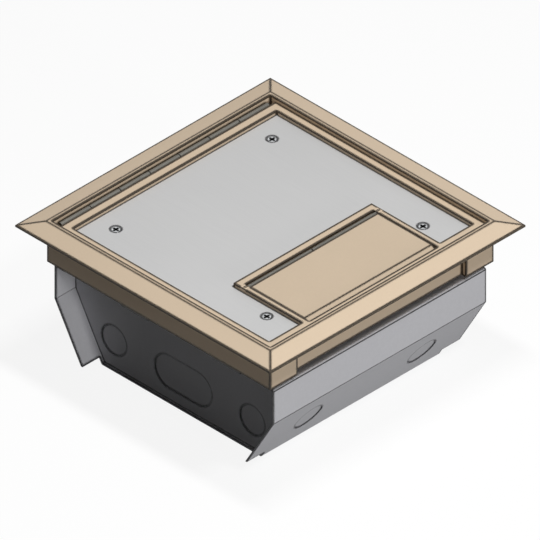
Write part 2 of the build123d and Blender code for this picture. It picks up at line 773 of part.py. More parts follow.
def ground_screw():
    """Hexagon-headed ground screw with its washer face, in the pan behind the power bracket."""
    head = extrude(RegularPolygon(ground_screw_head / 2, 6), ground_screw_height)
    washer = flats(ground_washer, ground_washer_height)
    shank = flats(small_screw_shank, -sheet)
    return Pos(ground_screw_x, ground_screw_y, sheet) * (head + washer + shank)


def seat_screws(places):
    """Countersunk screws down through the seat."""
    screw = flat_screw(small_screw_head, small_screw_shank, frame_screw_length)
    return [Pos(x, y, seat_z) * screw for x, y in places]


def foot_screws():
    """Screws down through the brackets' feet."""
    screw = low_screw(small_screw_head, foot_screw_height, small_screw_shank, 2 * sheet)
    return [Pos(x, y, 2 * sheet) * screw for x, y in bracket_foot_places()]


def device_screws(side):
    """Screws through one bracket into its devices' ears."""
    screw = flat_screw(device_screw_head, device_screw_shank, device_screw_length)
    return [device_place(side, x) * Pos(0, y, 0) * screw for x in (-device_spread, device_spread)
            for y in (-device_screw_pitch / 2, device_screw_pitch / 2)]


os.makedirs("parts", exist_ok=True)

fixed_back = knuckle_radius + leaf_standoff
frame = trim_frame()
for hole in leaf_screw_holes(hinge_y + fixed_back):
    frame -= hole
save("trim_frame", frame)
save("seat_pads", seat_pads())
wrap = box_wrap()
for x, y in bracket_foot_places() + [(ground_screw_x, ground_screw_y)]:
    wrap -= Pos(x, y, 0) * screw_hole(small_screw_shank, 2 * sheet)
save("box_wrap", wrap)
right_wall = end_wall()
save("end_wall_right", right_wall)
save("end_wall_left", mirror(right_wall, about=Plane.YZ))
save("frame_screws", seat_screws(frame_screw_places()))

power, data = 1, -1
save("device_bracket_power", device_bracket(power, outlet_faces(outlet_gap)))
save("device_bracket_data", device_bracket(data, Rectangle(insert_width + 2 * outlet_gap,
                                                           insert_length + 2 * outlet_gap)))
save("bracket_screws", seat_screws(bracket_top_places()) + foot_screws())
for name, x in (("left", -device_spread), ("right", device_spread)):
    save(f"receptacle_body_{name}", device_place(power, x) * receptacle_body())
    save(f"receptacle_strap_{name}", device_place(power, x) * receptacle_strap())
    save(f"data_plate_{name}", device_place(data, x) * data_plate())
save("receptacle_screws", device_screws(power))
save("data_plate_screws", device_screws(data))
save("data_jacks", [device_place(data, x) * Pos(0, y, 0) * data_jack()
                    for x in (-device_spread, device_spread) for y in (0, port_pitch)])
save("data_blanks", [device_place(data, x) * Pos(0, -port_pitch, 0) * port_block(blank_depth)
                     for x in (-device_spread, device_spread)])
save("ground_screw", ground_screw())

save("hinge_leaf_fixed", hinge_leaf(0, fixed_back, fixed_back - leaf))
save("hinge_leaf_lid", hinge_leaf(1, -lid_to_axis, leaf - lid_to_axis))
save("hinge_pin", pin(hinge_pin_diameter / 2, -hinge_length / 2, hinge_length / 2, hinge_y, hinge_z))
save("hinge_screws_frame", leaf_screws(fixed_back - leaf, 90))
save("hinge_screws_lid", leaf_screws(leaf - lid_to_axis, -90))

save("lid_frame", lid_frame())
save("lid_plate", lid_plate())
save("lid_plate_screws", [Pos(x, y, plate_z - plate_screw_sink) * plate_screw()
                          for x, y in plate_screw_places])
save("flap", flap())
save("flap_pads", flap_pads())
save("flap_hinge_pins", flap_hinge_pins())

for name, x, y, turn in clamp_places():
    place = Pos(x, y, 0) * Rot(0, 0, turn)
    save(f"clamp_screw_{name}", place * clamp_screw())
    save(f"clamp_dog_{name}", place * clamp_dog())
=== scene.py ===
import math

import bmesh
import bpy
from mathutils import Matrix, Vector


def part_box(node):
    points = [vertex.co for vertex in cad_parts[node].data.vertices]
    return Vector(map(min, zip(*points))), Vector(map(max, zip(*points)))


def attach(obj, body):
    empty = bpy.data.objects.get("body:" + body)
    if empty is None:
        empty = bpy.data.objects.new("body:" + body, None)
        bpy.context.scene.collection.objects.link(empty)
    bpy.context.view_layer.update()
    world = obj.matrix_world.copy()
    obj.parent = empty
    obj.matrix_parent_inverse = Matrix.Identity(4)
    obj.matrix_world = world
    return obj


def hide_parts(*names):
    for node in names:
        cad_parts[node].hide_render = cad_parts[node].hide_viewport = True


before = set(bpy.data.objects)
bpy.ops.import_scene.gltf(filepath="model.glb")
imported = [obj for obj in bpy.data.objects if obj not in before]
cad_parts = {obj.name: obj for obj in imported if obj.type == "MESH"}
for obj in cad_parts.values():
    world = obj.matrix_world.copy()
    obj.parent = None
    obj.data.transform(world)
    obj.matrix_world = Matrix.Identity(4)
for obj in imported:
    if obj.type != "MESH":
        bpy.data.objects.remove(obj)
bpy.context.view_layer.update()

# Studio: the floor box stands on its pan on a plain pale floor, in a true isometric view with no
# perspective. Soft lamps overhead and in front light the lid and the long side, and a low strip
# shines in under the flange and along the ears, so that the faces on the left stay dark.
view_azimuth = math.radians(-45.0)
view_elevation = math.radians(35.264)
view_width = 0.4327
view_middle = Vector((-0.00017, 0.00017, 0.0876))
view_distance = 2.0
ambient_level = 0.03
floor_half = 6.0
floor_drop = 0.0002
paper_grey = "#606060"
paper_glow = 0.89


def linear(hex_colour):
    """An sRGB hex colour as linear RGBA."""
    values = [int(hex_colour[i:i + 2], 16) / 255 for i in (1, 3, 5)]
    return [v / 12.92 if v <= 0.04045 else ((v + 0.055) / 1.055) ** 2.4 for v in values] + [1.0]


def add(tree, kind, links=None, **settings):
    """A shader node with its settings; links gives its inputs a value or another node's socket."""
    made = tree.nodes.new(kind)
    for name, value in settings.items():
        setattr(made, name, value)
    for name, value in (links or {}).items():
        if isinstance(value, bpy.types.NodeSocket):
            tree.links.new(value, made.inputs[name])
        else:
            made.inputs[name].default_value = value
    return made


def blank_material(name):
    """An empty node material and its tree."""
    material = bpy.data.materials.new(name)
    material.use_nodes = True
    material.node_tree.nodes.clear()
    return material, material.node_tree


def seen_directly(tree):
    """1 for rays that show the background: camera, glossy and transmission rays."""
    rays = add(tree, "ShaderNodeLightPath").outputs
    first = add(tree, "ShaderNodeMath",
                {0: rays["Is Camera Ray"], 1: rays["Is Glossy Ray"]}, operation="MAXIMUM")
    return add(tree, "ShaderNodeMath",
               {0: first.outputs[0], 1: rays["Is Transmission Ray"]}, operation="MAXIMUM")


def area_light(name, azimuth, elevation, distance, width, height, power):
    """A soft box turned towards the floor box; azimuth 0 shines from the flap's side."""
    lamp = bpy.data.lights.new(name, "AREA")
    lamp.shape = "RECTANGLE"
    lamp.size = width
    lamp.size_y = height
    lamp.energy = power
    light = bpy.data.objects.new(name, lamp)
    bpy.context.collection.objects.link(light)
    turn = math.radians(azimuth)
    lift = math.radians(elevation)
    towards = Vector((-math.sin(turn) * math.cos(lift), -math.cos(turn) * math.cos(lift),
                      math.sin(lift)))
    light.location = view_middle + distance * towards
    light.rotation_euler = towards.to_track_quat("Z", "Y").to_euler()


camera_data = bpy.data.cameras.new("camera")
camera_data.type = "ORTHO"
camera_data.ortho_scale = view_width
camera = bpy.data.objects.new("camera", camera_data)
bpy.context.collection.objects.link(camera)
away = Vector((math.sin(view_azimuth) * math.cos(view_elevation),
               -math.cos(view_azimuth) * math.cos(view_elevation), math.sin(view_elevation)))
camera.location = view_middle + view_distance * away
camera.rotation_euler = away.to_track_quat("Z", "Y").to_euler()
bpy.context.scene.camera = camera
bpy.context.scene.view_settings.view_transform = "Standard"

area_light("overhead_lamp", azimuth=0, elevation=84, distance=1.6, width=0.15, height=0.4,
           power=14.5)
area_light("front_lamp", azimuth=0, elevation=57, distance=1.6, width=0.15, height=0.2, power=8.5)
area_light("low_strip", azimuth=7, elevation=6, distance=4.0, width=0.25, height=0.8, power=64)

world = bpy.data.worlds.new("studio")
bpy.context.scene.world = world
world.use_nodes = True
tree = world.node_tree
tree.nodes.clear()
ambient = add(tree, "ShaderNodeBackground", {"Color": (1, 1, 1, 1), "Strength": ambient_level})
backdrop = add(tree, "ShaderNodeBackground", {"Color": (1, 1, 1, 1), "Strength": 1.0})
shown = add(tree, "ShaderNodeMixShader", {0: seen_directly(tree).outputs[0],
                                          1: ambient.outputs[0], 2: backdrop.outputs[0]})
add(tree, "ShaderNodeOutputWorld", {"Surface": shown.outputs[0]})

floor_mesh = bpy.data.meshes.new("studio_floor")
floor_mesh.from_pydata([(-floor_half, -floor_half, 0), (floor_half, -floor_half, 0),
                        (floor_half, floor_half, 0), (-floor_half, floor_half, 0)], [],
                       [(0, 1, 2, 3)])
floor = bpy.data.objects.new("studio_floor", floor_mesh)
floor.location.z = -floor_drop
bpy.context.collection.objects.link(floor)
paper, tree = blank_material("pale_backdrop_paper")
matt = add(tree, "ShaderNodeBsdfDiffuse", {"Color": linear(paper_grey)})
glow = add(tree, "ShaderNodeEmission", {"Color": (1, 1, 1, 1), "Strength": paper_glow})
lit = add(tree, "ShaderNodeAddShader", {0: matt.outputs[0], 1: glow.outputs[0]})
mixed = add(tree, "ShaderNodeMixShader", {0: seen_directly(tree).outputs[0], 1: matt.outputs[0],
                                          2: lit.outputs[0]})
add(tree, "ShaderNodeOutputMaterial", {"Surface": mixed.outputs[0]})
floor_mesh.materials.append(paper)


# Folded box: the pan, its two long sides and their lips are one sheet of 1.6 mm galvannealed
# steel, bent on a press brake, with the two end walls spot-welded inside it. The alloyed zinc skin
# is a flat, dull grey with a fine frosted grain. Dark lines along its edges and folds, and shade in
# its inside corners, are painted into its colour.
sheet_grey = "#CBCBCF"
sheet_painted_shade = "#333335"
zinc_crystal = 2.6          # drawn coarser than the real frost, which is too fine to show
mill_band = 45.0
noise_low = 0.25            # most of a noise pattern's values lie between these two
noise_high = 0.75
fold_tilt = 0.25            # a fold's facets lean this much, give or take the band
fold_band = 0.23


def surface(name, hex_colour, roughness, metallic=0.0, specular=0.5):
    """A material with one principled shader, its tree and that shader."""
    material, tree = blank_material(name)
    shader = add(tree, "ShaderNodeBsdfPrincipled",
                 {"Base Color": linear(hex_colour), "Roughness": roughness, "Metallic": metallic,
                  "Specular IOR Level": specular})
    add(tree, "ShaderNodeOutputMaterial", {"Surface": shader.outputs[0]})
    return material, tree, shader


def finish(tree, shader, colour, relief=None, height=0.0):
    """Give a surface its colour and, where it has any, relief of that height in mm."""
    tree.links.new(colour, shader.inputs["Base Color"])
    if relief:
        bump = add(tree, "ShaderNodeBump", {"Height": relief, "Distance": height / 1000})
        tree.links.new(bump.outputs[0], shader.inputs["Normal"])


def grain(tree, size, stretch=(1, 1, 1), detail=2.0):
    """An uneven value in lumps of that size in mm, drawn out where stretch is small."""
    place = add(tree, "ShaderNodeTexCoord")
    scaled = add(tree, "ShaderNodeMapping", {"Vector": place.outputs["Object"],
                                             "Scale": [s * 1000 / size for s in stretch]})
    return add(tree, "ShaderNodeTexNoise", {"Vector": scaled.outputs[0], "Scale": 1.0,
                                            "Detail": detail}).outputs["Fac"]


def toned(tree, colour, pattern, share):
    """A colour made lighter and darker by a pattern, up to that share."""
    gain = add(tree, "ShaderNodeMapRange",
               {"Value": pattern, "From Min": noise_low, "From Max": noise_high,
                "To Min": 1 - share, "To Max": 1 + share})
    return add(tree, "ShaderNodeHueSaturation",
               {"Color": colour, "Value": gain.outputs[0]}).outputs[0]


def edged(tree, colour, edge_colour, reach=2.6, strength=0.95, start=0.0002, full=0.001):
    """A colour that turns to another near edges and inside corners, from start to full: painted
    dark lines along edges and painted shade in inside corners.

    Reach is in mm, or a socket in metres. Start and full say how far the rounded normal leans.
    """
    true = add(tree, "ShaderNodeNewGeometry").outputs["True Normal"]
    radius = reach if isinstance(reach, bpy.types.NodeSocket) else reach / 1000
    rounded = add(tree, "ShaderNodeBevel", {"Radius": radius}, samples=12).outputs[0]
    along = add(tree, "ShaderNodeVectorMath", {0: true, 1: rounded}, operation="DOT_PRODUCT")
    near = add(tree, "ShaderNodeMapRange",
               {"Value": along.outputs["Value"], "From Min": 1 - start, "From Max": 1 - full,
                "To Max": strength})
    return add(tree, "ShaderNodeMix", {0: near.outputs[0], 6: colour, 7: linear(edge_colour)},
               data_type="RGBA").outputs[2]


def painted_fold_shade(tree, colour, fold_shade_colour, strength=0.95):
    """A colour with painted shade where the sheet starts to turn out of its upright flats."""
    normal = add(tree, "ShaderNodeNewGeometry").outputs["True Normal"]
    local = add(tree, "ShaderNodeVectorTransform", {"Vector": normal}, vector_type="NORMAL",
                convert_from="WORLD", convert_to="OBJECT")
    height = add(tree, "ShaderNodeSeparateXYZ", {0: local.outputs[0]}).outputs["Z"]
    tilt = add(tree, "ShaderNodeMath", {0: height}, operation="ABSOLUTE")
    fold = add(tree, "ShaderNodeMath", {0: tilt.outputs[0], 1: fold_tilt, 2: fold_band},
               operation="COMPARE")
    share = add(tree, "ShaderNodeMath", {0: fold.outputs[0], 1: strength}, operation="MULTIPLY")
    return add(tree, "ShaderNodeMix", {0: share.outputs[0], 6: colour, 7: linear(fold_shade_colour)},
               data_type="RGBA").outputs[2]


def dress(material, *nodes):
    """Give CAD nodes their material."""
    for node in nodes:
        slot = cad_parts[node].material_slots[0]
        slot.link = "OBJECT"
        slot.material = material


# Galvannealed sheet is matt and hardly metallic, as iron has risen through its zinc.
galvannealed, tree, shader = surface("galvannealed_sheet_steel", sheet_grey, roughness=0.62,
                                     specular=0.18)
frost = grain(tree, zinc_crystal, detail=3.0)
colour = toned(tree, linear(sheet_grey), frost, share=0.022)
colour = toned(tree, colour, grain(tree, mill_band, stretch=(0.3, 1, 1)), share=0.02)
# painted shade on the folds, and painted dark lines along edges and in inside corners
colour = painted_fold_shade(tree, colour, sheet_painted_shade)
colour = edged(tree, colour, sheet_painted_shade, reach=3.6, start=0.025, full=0.04)
finish(tree, shader, colour, frost, height=0.02)
dress(galvannealed, "box_wrap", "end_wall_left", "end_wall_right")


# Trim frame: one aluminium die casting with a mitred bevel, deburred, degreased and coated with
# tan polyester powder. The coat is satin, with a faint orange peel. Dark lines along its edges, and
# shade in its gaps and inside corners, are painted into its colour.
coat_tan = "#D3BFA6"
coat_painted_shade = "#241C12"
peel = 1.6
mottle = 30.0
gap_depth = 4.0
bore_half_x = 0.005         # how far from a bore's middle the edge strokes are held back
bore_half_y = 0.003
reach_over_bore = 0.0015


def painted_recess_shade(tree, colour, painted_shade_colour, reach, strength=0.95, clear=0.85, deep=0.45):
    """A colour with painted shade in recesses and gaps up to that deep in mm."""
    open_share = add(tree, "ShaderNodeAmbientOcclusion", {"Distance": reach / 1000}, samples=8)
    shade_mask = add(tree, "ShaderNodeMapRange", {"Value": open_share.outputs["AO"],
                                             "From Min": clear, "From Max": deep,
                                             "To Max": strength})
    return add(tree, "ShaderNodeMix", {0: shade_mask.outputs[0], 6: colour, 7: linear(painted_shade_colour)},
               data_type="RGBA").outputs[2]


def off_bores(tree, reach, bore):
    """A reach in metres that is cut back beside a bore close under the face, at that |x| and y."""
    place = add(tree, "ShaderNodeTexCoord").outputs["Object"]
    apart = add(tree, "ShaderNodeSeparateXYZ", {0: place})
    across = add(tree, "ShaderNodeMath", {0: apart.outputs["X"]}, operation="ABSOLUTE")
    beside = add(tree, "ShaderNodeMath", {0: across.outputs[0], 1: bore[0], 2: bore_half_x},
                 operation="COMPARE")
    level = add(tree, "ShaderNodeMath", {0: apart.outputs["Y"], 1: bore[1], 2: bore_half_y},
                operation="COMPARE")
    near = add(tree, "ShaderNodeMath", {0: beside.outputs[0], 1: level.outputs[0]},
               operation="MULTIPLY")
    return add(tree, "ShaderNodeMapRange", {"Value": near.outputs[0], "To Min": reach / 1000,
                                            "To Max": reach_over_bore}).outputs[0]


def powder_coat(name, hex_colour, edge_reach=3.0, bore=None):
    """Satin polyester powder on aluminium: orange peel, faint mottle, painted dark lines along its
    edges and painted shade in its gaps.
    """
    material, tree, shader = surface(name, hex_colour, roughness=0.5, specular=0.22)
    colour = toned(tree, linear(hex_colour), grain(tree, mottle), share=0.012)
    colour = toned(tree, colour, grain(tree, peel, detail=1.0), share=0.012)
    # painted shade in gaps and recesses, then painted dark lines along edges
    colour = painted_recess_shade(tree, colour, coat_painted_shade, gap_depth, strength=0.45)
    reach = off_bores(tree, edge_reach, bore) if bore else edge_reach
    colour = edged(tree, colour, coat_painted_shade, reach)
    finish(tree, shader, colour, grain(tree, peel, detail=1.0), height=0.012)
    return material


frame_coat = powder_coat("tan_powder_coat", coat_tan)
dress(frame_coat, "trim_frame")


# Seat screws: countersunk cross-recess machine screws, cold-headed from steel. Four hold the frame
# on the end walls' tabs, and four hold the heads of the device brackets, whose feet have four low
# pan heads. Their bright zinc plate is smooth and mirrors softly. Shade is painted dark into the
# recess and the gap round each head, and dark lines are painted along the edges.
zinc_bright = "#D4D6D8"
zinc_painted_edge_shade = "#1C1C1D"
zinc_painted_recess_shade = "#0C0C0C"
plating_mottle = 0.8
small_head = 0.0032
small_shank = 0.0017
small_pitch = 0.0007
seat_screw_length = 0.0056
foot_screw_x = 0.044
foot_screw_y = 0.0528
foot_screw_z = 0.0032
foot_head_height = 0.0018
foot_screw_length = 0.0032
recess_taper = 0.7          # the recess's bed, as a share of its mouth
thread_root = 0.84          # as shares of the thread's radius
thread_tip = 0.8
flat_head_edge = 0.05       # as a share of the head's radius
pan_curve = ((0.62, 1), (0.86, 0.8), (0.97, 0.45), (1, 0))      # as shares of radius and height
smooth_below = math.radians(32)


def piece(name, shape, material, body, replaced=()):
    """A new mesh piece that rides on a body, takes a finish slot and may stand for CAD nodes."""
    mesh = bpy.data.meshes.new(name)
    mesh.from_pydata(shape[0], [], shape[1])
    bm = bmesh.new()
    bm.from_mesh(mesh)
    bmesh.ops.recalc_face_normals(bm, faces=bm.faces)
    bm.to_mesh(mesh)
    bm.free()
    mesh.polygons.foreach_set("use_smooth", [True] * len(mesh.polygons))
    mesh.set_sharp_from_angle(angle=smooth_below)
    mesh.materials.append(material)
    made = bpy.data.objects.new(name, mesh)
    bpy.context.collection.objects.link(made)
    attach(made, body)
    if replaced:
        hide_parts(*replaced)


def joined(*shapes):
    """Several shapes as one list of vertices and one of faces."""
    verts = []
    faces = []
    for shape_verts, shape_faces in shapes:
        start = len(verts)
        verts += list(shape_verts)
        faces += [[start + i for i in face] for face in shape_faces]
    return verts, faces


def copies(shape, places):
    """One shape at several places, given as matrices."""
    return joined(*(([place @ Vector(v) for v in shape[0]], shape[1]) for place in places))


def turned(outline, sides=32):
    """A solid turned about Z from (radius, height) points; a radius may depend on the angle."""
    verts = []
    faces = []
    for radius, z in outline:
        for k in range(sides):
            angle = 2 * math.pi * k / sides
            reach = radius(angle) if callable(radius) else radius
            verts.append(Vector((reach * math.cos(angle), reach * math.sin(angle), z)))
    for ring in range(len(outline) - 1):
        a = ring * sides
        b = a + sides
        faces += [(a + k, a + (k + 1) % sides, b + (k + 1) % sides, b + k) for k in range(sides)]
    last = (len(outline) - 1) * sides
    return verts, faces + [tuple(range(sides)), tuple(range(last, last + sides))]


def threads(radius, top, bottom, pitch):
    """Outline of a thread; each turn is a closed ring, as its slope is too small to see."""
    outline = []
    for turn in range(int((top - bottom) / pitch)):
        z = top - turn * pitch
        outline += [(radius, z), (radius * thread_root, z - pitch / 2)]
    return outline + [(radius * thread_tip, bottom)]


def cross_screw(outline, arm, width, depth, sides=32):
    """A turned screw with a tapered cross recess in its top; width is half an arm's."""
    verts, faces = turned(outline, sides)
    bm = bmesh.new()
    made = [bm.verts.new(v) for v in verts]
    for face in faces[:-2] + faces[-1:]:
        bm.faces.new([made[i] for i in face])
    corner = [(width, arm), (-width, arm), (-width, width), (-arm, width), (-arm, -width),
              (-width, -width), (-width, -arm), (width, -arm), (width, -width), (arm, -width),
              (arm, width), (width, width)]
    top = outline[0][1]
    mouth = [bm.verts.new((x, y, top)) for x, y in corner]
    bed = [bm.verts.new((x * recess_taper, y * recess_taper, top - depth)) for x, y in corner]
    for k in range(len(corner)):
        after = (k + 1) % len(corner)
        bm.faces.new((mouth[k], mouth[after], bed[after], bed[k]))
    bm.faces.new(bed)
    rim = [bm.edges.get((made[k], made[(k + 1) % sides])) for k in range(sides)]
    rim += [bm.edges.get((mouth[k - 1], mouth[k])) for k in range(len(corner))]
    bmesh.ops.triangle_fill(bm, edges=rim, use_beauty=True)
    bm.verts.index_update()
    shape = [v.co.copy() for v in bm.verts], [[v.index for v in f.verts] for f in bm.faces]
    bm.free()
    return shape


def flat_outline(head, shank, length, pitch):
    """Outline of a countersunk screw with its head's top at 0."""
    edge = head * flat_head_edge
    cone = [(head - edge, 0), (head, -edge), (shank, shank - head)]
    return cone + threads(shank, shank - head - pitch / 2, -length, pitch)


def pan_outline(head, height, shank, length, pitch):
    """Outline of a low pan-headed screw with its seat at 0."""
    crown = [(head * across, height * up) for across, up in pan_curve]
    return crown + [(shank, 0)] + threads(shank, -pitch / 2, -length, pitch)


def corners(node, inset):
    """The four upright places that far inside the corners of a node's box, at its top."""
    low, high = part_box(node)
    return [Matrix.Translation((x, y, high[2])) for x in (low[0] + inset, high[0] - inset)
            for y in (low[1] + inset, high[1] - inset)]


zinc, tree, shader = surface("bright_zinc_plate", zinc_bright, roughness=0.3, metallic=1.0)
colour = toned(tree, linear(zinc_bright), grain(tree, plating_mottle), share=0.06)
# painted shade in the recess and round the head, and painted dark lines along the edges
colour = painted_recess_shade(tree, colour, zinc_painted_recess_shade, reach=1.6)
colour = edged(tree, colour, zinc_painted_edge_shade, reach=1.4, strength=0.9, start=0.01, full=0.03)
finish(tree, shader, colour)

small_flat = cross_screw(flat_outline(small_head, small_shank, seat_screw_length, small_pitch),
                         arm=0.002, width=0.00045, depth=0.0012)
small_pan = cross_screw(pan_outline(small_head, foot_head_height, small_shank, foot_screw_length,
                                    small_pitch), arm=0.0019, width=0.00036, depth=0.0011)
feet = [Matrix.Translation((sx * foot_screw_x, sy * foot_screw_y, foot_screw_z))
        for sx in (-1, 1) for sy in (-1, 1)]
piece("frame_cross_screws", copies(small_flat, corners("frame_screws", small_head)), zinc, "box",
      ["frame_screws"])
piece("bracket_cross_screws",
      joined(copies(small_flat, corners("bracket_screws", small_head)), copies(small_pan, feet)),
      zinc, "box", ["bracket_screws"])


# Seat pads: strips of black EPDM rubber stuck on the seat and the flap's ledges, so that nothing
# rattles. Cut from sheet, they are matt with a fine talc bloom.
rubber_black = "#1F1F20"
talc_bloom = 0.9
rubber, tree, shader = surface("black_epdm_rubber", rubber_black, roughness=0.82, specular=0.35)
talc = grain(tree, talc_bloom, detail=3.0)
finish(tree, shader, toned(tree, linear(rubber_black), talc, share=0.3), talc, height=0.05)
dress(rubber, "seat_pads", "flap_pads")


# Device brackets: pressed from the same galvannealed sheet, sloping from the pan up to the seat so
# that plugs lie flat under the lid.
dress(galvannealed, "device_bracket_power", "device_bracket_data")


# Duplex receptacles: a moulded nylon body and faces in ivory, held by a plated strap of rolled
# steel. The mouldings are satin with a spark-eroded grain, and the strap shows faint roll lines.
nylon_ivory = "#E6E0CE"
nylon_shade = "#6E675A"
strap_grey = "#B9BABC"
strap_shade = "#3C3B3A"
roll_line = 0.7
spark_pit = 0.5             # drawn coarser than the real grain, which is too fine to show


def moulding(name, hex_colour, shade, roughness, reach):
    """Satin moulded plastic: shaded on its flats, and its own colour along its edges."""
    material, tree, shader = surface(name, hex_colour, roughness, specular=0.4)
    spark = grain(tree, spark_pit, detail=3.0)
    colour = toned(tree, linear(hex_colour), spark, share=0.02)
    # start is past full here, which gives the shade to the flats and not to the edges
    colour = edged(tree, colour, shade, reach, strength=0.6, start=0.01, full=0.001)
    finish(tree, shader, colour, spark, height=0.01)
    return material


nylon = moulding("ivory_moulded_nylon", nylon_ivory, nylon_shade, roughness=0.45, reach=0.7)
dress(nylon, "receptacle_body_left", "receptacle_body_right")

# The strap is shaded on its flats in the same way as the mouldings.
rolled, tree, shader = surface("rolled_plated_steel", strap_grey, roughness=0.38, metallic=1.0)
roll_lines = grain(tree, roll_line, stretch=(0.05, 1, 1))
colour = toned(tree, linear(strap_grey), roll_lines, share=0.08)
colour = edged(tree, colour, strap_shade, reach=0.6, strength=0.6, start=0.01, full=0.001)
finish(tree, shader, colour, roll_lines, height=0.01)
dress(rolled, "receptacle_strap_left", "receptacle_strap_right")


# Device screws: small countersunk steel screws in bright zinc plate. Two go through each device's
# ears into its bracket, one above and one below the outlets or ports.
bracket_foot_y = 0.044096
bracket_slope = math.radians(30)
sheet = 0.0016
device_x = 0.044
device_up = 0.068
device_pitch = 0.0833
device_head = 0.0031
device_screw_length = 0.0065


def on_bracket(side, x, up):
    """Frame on a bracket's well-side face: X across, Y up the slope and Z out of it."""
    across = Vector((side, 0, 0))
    out = Vector((0, -side * math.cos(bracket_slope), math.sin(bracket_slope))).normalized()
    turn = Matrix((across, out.cross(across), out)).transposed().to_4x4()
    foot = Matrix.Translation((x, side * bracket_foot_y, sheet))
    return foot @ turn @ Matrix.Translation((0, up, 0))


device_screw = cross_screw(flat_outline(device_head, small_shank, device_screw_length, small_pitch),
                           arm=0.0018, width=0.00036, depth=0.001)
for side, node in ((1, "receptacle_screws"), (-1, "data_plate_screws")):
    places = [on_bracket(side, x, device_up + step * device_pitch / 2)
              for x in (-device_x, device_x) for step in (-1, 1)]
    piece(node.replace("screws", "cross_screws"), copies(device_screw, places), zinc, "box",
          [node])


# Data plates and blanks: light grey ABS, injection-moulded in a tool with the same spark-eroded
# grain. The blanks snap into the ports that hold no jack.
abs_grey = "#D6D6D2"
abs_shade = "#5E5E5C"
port_abs = moulding("light_grey_moulded_abs", abs_grey, abs_shade, roughness=0.5, reach=0.6)
dress(port_abs, "data_plate_left", "data_plate_right", "data_blanks")


# Data jacks: glossy black polycarbonate mouldings that snap into the plates. Eight sprung contacts
# of gilt wire bow across each mouth, bright and smooth against the black.
jack_black = "#1B1B1D"
flow_mark = 3.0
contact_gilt = "#D9B25A"
wire_mark = 0.6
jack_face = 0.0018
port_pitch = 0.0204
contact_count = 8
contact_pitch = 0.00102
contact_width = 0.00038
contact_thickness = 0.0002
contact_start = 0.0041
contact_span = 0.0052
contact_depth = 0.0031
contact_rise = 0.0011
contact_bow = 0.6           # share of half a sine wave that a contact follows
contact_steps = 8

polycarbonate, tree, shader = surface("black_polycarbonate", jack_black, roughness=0.3)
finish(tree, shader, toned(tree, linear(jack_black), grain(tree, flow_mark), share=0.15))
dress(polycarbonate, "data_jacks")
gilt, tree, shader = surface("gilt_contact_wire", contact_gilt, roughness=0.25, metallic=1.0)
finish(tree, shader, toned(tree, linear(contact_gilt), grain(tree, wire_mark), share=0.08))


def contact_strip(x):
    """One contact: a thin strip that bows up out of the mouth's upper wall."""
    verts = []
    faces = []
    for step in range(contact_steps + 1):
        share = step / contact_steps
        y = contact_start - share * contact_span
        rise = contact_rise * math.sin(math.pi * share * contact_bow)
        for dx, dz in ((-1, 0), (1, 0), (1, 1), (-1, 1)):
            verts.append((x + dx * contact_width / 2, y,
                          jack_face - contact_depth + rise + dz * contact_thickness))
    for step in range(contact_steps):
        k = 4 * step
        faces += [(k + a, k + (a + 1) % 4, k + 4 + (a + 1) % 4, k + 4 + a) for a in range(4)]
    last = 4 * contact_steps
    return verts, faces + [(3, 2, 1, 0), (last, last + 1, last + 2, last + 3)]


strips = joined(*(contact_strip((index - (contact_count - 1) / 2) * contact_pitch)
                  for index in range(contact_count)))
jack_places = [on_bracket(-1, x, device_up + up)
               for x in (-device_x, device_x) for up in (0, port_pitch)]
piece("jack_contacts", copies(strips, jack_places), gilt, "box")


# Ground screw: a hexagon-headed steel screw with a washer face, cold-headed, screwed into the pan.
# It is dyed green over its zinc so that it is known as earth, and dark lines are painted along its
# edges.
earth_green = "#2E6B40"
green_edge = "#16301D"
dye_mottle = 1.0
head_sides = 48
hexagon_half = 0.00345
hexagon_height = 0.0034
hexagon_crown = 0.0005
crown_flat = 0.9            # share of the head that is left flat on top
washer_radius = 0.00525
washer_height = 0.0009
washer_rim = (0.97, 0.8)    # where the washer's rounded rim starts, across and up


def hexagon(angle):
    """Distance of a hexagonal head's side from its axis."""
    return hexagon_half / math.cos(angle % (math.pi / 3) - math.pi / 6)


def middle_of(node):
    """The middle of a node's box at rest."""
    low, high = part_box(node)
    return [(a + b) / 2 for a, b in zip(low, high)]


green_dye, tree, shader = surface("green_dyed_zinc", earth_green, roughness=0.35, metallic=0.85)
colour = toned(tree, linear(earth_green), grain(tree, dye_mottle), share=0.12)
# painted dark lines along the screw's edges
colour = edged(tree, colour, green_edge, reach=0.9, strength=0.8, start=0.01, full=0.05)
finish(tree, shader, colour)

ground_outline = [(hexagon_half * crown_flat, hexagon_height),
                  (hexagon_half, hexagon_height - hexagon_crown / 4),
                  (hexagon, hexagon_height - hexagon_crown), (hexagon, washer_height),
                  (washer_radius * washer_rim[0], washer_height),
                  (washer_radius, washer_height * washer_rim[1]),
                  (washer_radius, 0), (small_shank, 0)]
ground_outline += threads(small_shank, -small_pitch / 2, -sheet, small_pitch)
ground_screw = turned(ground_outline, head_sides)
ground_x, ground_y = middle_of("ground_screw")[:2]
piece("green_ground_screw",
      copies(ground_screw, [Matrix.Translation((ground_x, ground_y, sheet))]), green_dye, "box",
      ["ground_screw"])


# Floor clamps: a zinc-plated screw through each side seat lifts a cast dog against the underside of
# the floor. The dogs are sand-cast malleable iron, tumbled and dipped black, with a pebbled skin.
iron_black = "#262627"
iron_edge = "#0F0F10"
cast_skin = 1.1
clamp_head = 0.0045
clamp_head_height = 0.0022
clamp_chamfer = 0.00036
clamp_shank = 0.0025
clamp_pitch = 0.0008
clamp_collar = 0.004
clamp_collar_drop = 0.00358
clamp_collar_height = 0.0012
collar_low = -clamp_collar_drop - clamp_collar_height

cast_iron, tree, shader = surface("black_dipped_malleable_iron", iron_black, roughness=0.5,
                                  specular=0.35)
pebble = grain(tree, cast_skin, detail=4.0)
colour = toned(tree, linear(iron_black), pebble, share=0.25)
# painted dark lines along the dogs' edges and painted shade in their inside corners
finish(tree, shader, edged(tree, colour, iron_edge), pebble, height=0.12)

